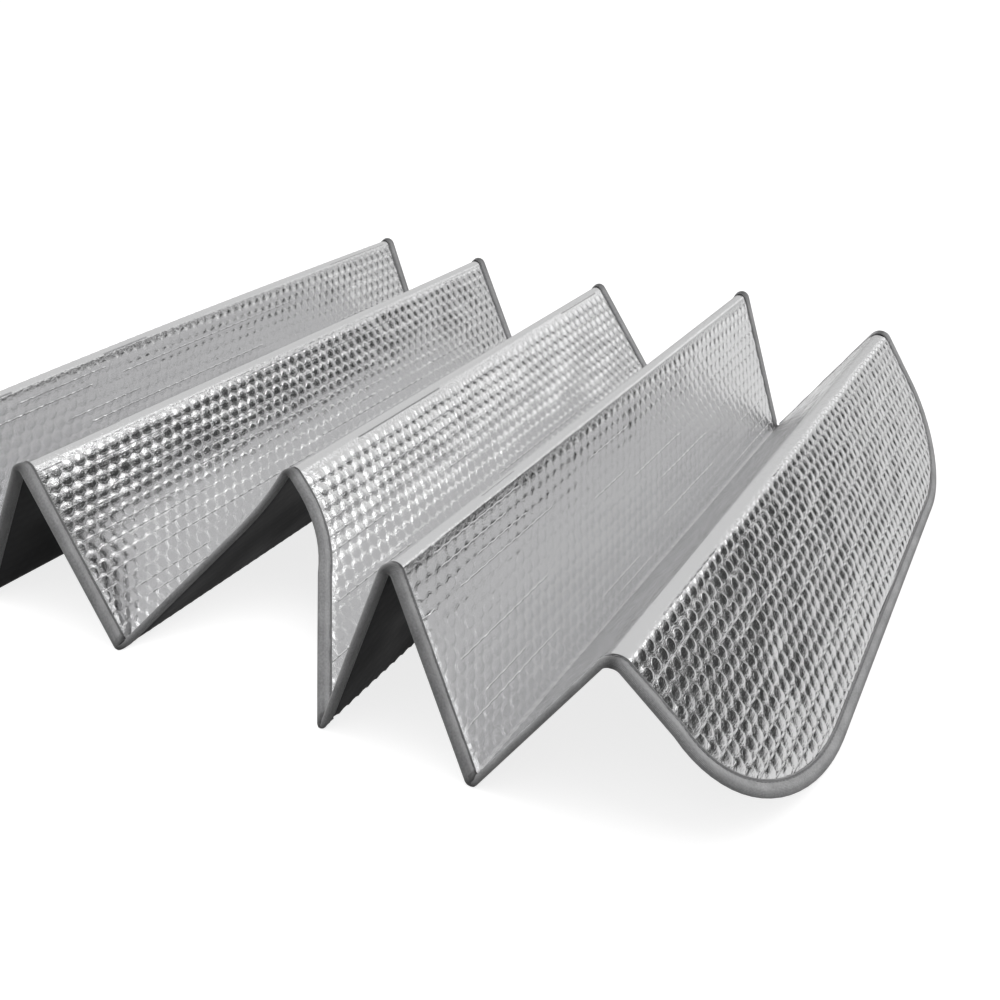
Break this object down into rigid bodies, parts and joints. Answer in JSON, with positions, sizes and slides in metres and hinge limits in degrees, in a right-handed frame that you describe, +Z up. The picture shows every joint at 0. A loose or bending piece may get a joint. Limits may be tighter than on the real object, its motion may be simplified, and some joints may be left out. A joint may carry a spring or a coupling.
{
  "type": "windscreen sunshade",
  "caption": "Folding car windscreen sunshade: a bubble-foil sheet with a mirror cut-out and rounded ends, bound with fabric tape, standing in a zigzag",
  "frame": {"origin": "on the floor, under the middle of the standing shade", "axes": "+X across the folds, from the far end panel to the near one; +Y along the folds, from the edge with the mirror cut-out to the plain edge; +Z up. Right-handed, metres"},
  "size_m": [0.6464, 0.5732, 0.1346],
  "materials": {
    "foil": "bright metallised film over air bubbles, crinkled, grey underside",
    "binding": "matt grey woven edging tape"
  },
  "bodies": {
    "root": {"foil_sheet": "foil", "edge_binding": "binding"}
  },
  "joints": []
}
